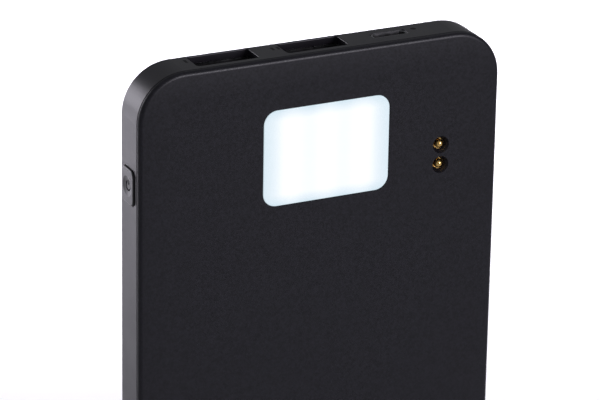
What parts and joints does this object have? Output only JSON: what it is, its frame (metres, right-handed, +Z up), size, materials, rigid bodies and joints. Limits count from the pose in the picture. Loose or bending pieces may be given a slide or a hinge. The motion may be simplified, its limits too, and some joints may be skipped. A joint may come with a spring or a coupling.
{
  "type": "power bank",
  "caption": "Slim upright power bank with a lit lamp window, spring contacts on its face, a side push button, USB-A output sockets and a micro-USB input.",
  "frame": {"origin": "middle of the bottom, where the upright power bank stands", "axes": "+Z up along the height, +X along the width towards the micro-USB side, +Y from the lamp face to the back"},
  "size_m": [0.079, 0.0094, 0.145],
  "materials": {
    "shell_plastic": "satin moulded plastic, near black",
    "cover_plastic": "fine matte texture, near black",
    "button_plastic": "satin moulded plastic, near black",
    "mark_print": "grey print",
    "icon_ink": "black ink",
    "opal_diffuser": "opal, lit from behind",
    "white_plastic": "white moulded plastic",
    "phosphor": "yellow phosphor, lit",
    "circuit_board": "green solder mask",
    "screw_steel": "zinc-plated",
    "ferrite": "matt ferrite",
    "chip_plastic": "moulded package",
    "tin_plate": "tin-plated sheet",
    "capacitor_ceramic": "matt ceramic",
    "tantalum_resin": "yellow resin",
    "socket_plastic": "black moulded plastic",
    "gold_plate": "gold-plated, polished",
    "spring_steel": "bright spring steel",
    "pouch_foil": "laminated pouch foil",
    "nickel_strip": "nickel strip",
    "amber_film": "polyimide film",
    "foam_tape": "foam tape",
    "lead_red": "soft insulation",
    "lead_black": "soft insulation",
    "solder": "bright solder"
  },
  "bodies": {
    "enclosure": {"battery_cell": "pouch_foil", "battery_lead_negative": "lead_black", "battery_lead_positive": "lead_red", "board_screws": "screw_steel", "cell_adhesive": "foam_tape", "cell_protection_board": "circuit_board", "cell_tabs": "nickel_strip", "cell_tape": "amber_film", "ceramic_capacitors": "capacitor_ceramic", "chip_leads": "tin_plate", "contact_barrel_lower": "gold_plate", "contact_barrel_upper": "gold_plate", "contact_spring_lower": "spring_steel", "contact_spring_upper": "spring_steel", "controller_chips": "chip_plastic", "front_cover": "cover_plastic", "lamp_diffuser": "opal_diffuser", "lamp_leds": "white_plastic", "lamp_phosphor": "phosphor", "lamp_reflector": "white_plastic", "lead_joints": "solder", "main_board": "circuit_board", "micro_usb_contacts": "gold_plate", "micro_usb_shell": "tin_plate", "micro_usb_tongue": "socket_plastic", "port_marks": "mark_print", "power_inductors": "ferrite", "protection_chips": "chip_plastic", "rear_shell": "shell_plastic", "switch_body": "socket_plastic", "switch_bracket": "tin_plate", "switch_dome": "spring_steel", "tantalum_capacitors": "tantalum_resin", "usb_a_contacts_1": "gold_plate", "usb_a_contacts_2": "gold_plate", "usb_a_shell_1": "tin_plate", "usb_a_shell_2": "tin_plate", "usb_a_tongue_1": "socket_plastic", "usb_a_tongue_2": "socket_plastic"},
    "power_button": {"power_button": "button_plastic", "power_icon": "icon_ink"},
    "switch_plunger": {"switch_plunger": "white_plastic"},
    "contact_pin_upper": {"contact_pin_upper": "gold_plate"},
    "contact_pin_lower": {"contact_pin_lower": "gold_plate"}
  },
  "joints": [
    {"name": "power_button_press", "type": "slide", "parent": "enclosure", "child": "power_button", "axis": [1, 0, 0], "range_m": [0, 0.0003], "stiffness_N_per_m": 6400},
    {"name": "switch_plunger_press", "type": "slide", "parent": "enclosure", "child": "switch_plunger", "axis": [1, 0, 0], "range_m": [0, 0.0003], "deforming": ["switch_dome"]},
    {"name": "contact_upper_press", "type": "slide", "parent": "enclosure", "child": "contact_pin_upper", "axis": [0, 1, 0], "range_m": [0, 0.0008], "stiffness_N_per_m": 600, "springref_m": -0.0005, "deforming": ["contact_spring_upper"]},
    {"name": "contact_lower_press", "type": "slide", "parent": "enclosure", "child": "contact_pin_lower", "axis": [0, 1, 0], "range_m": [0, 0.0008], "stiffness_N_per_m": 600, "springref_m": -0.0005, "deforming": ["contact_spring_lower"]}
  ],
  "couplings": [
    {"joint": "switch_plunger_press", "follows": "power_button_press", "ratio": 1}
  ]
}
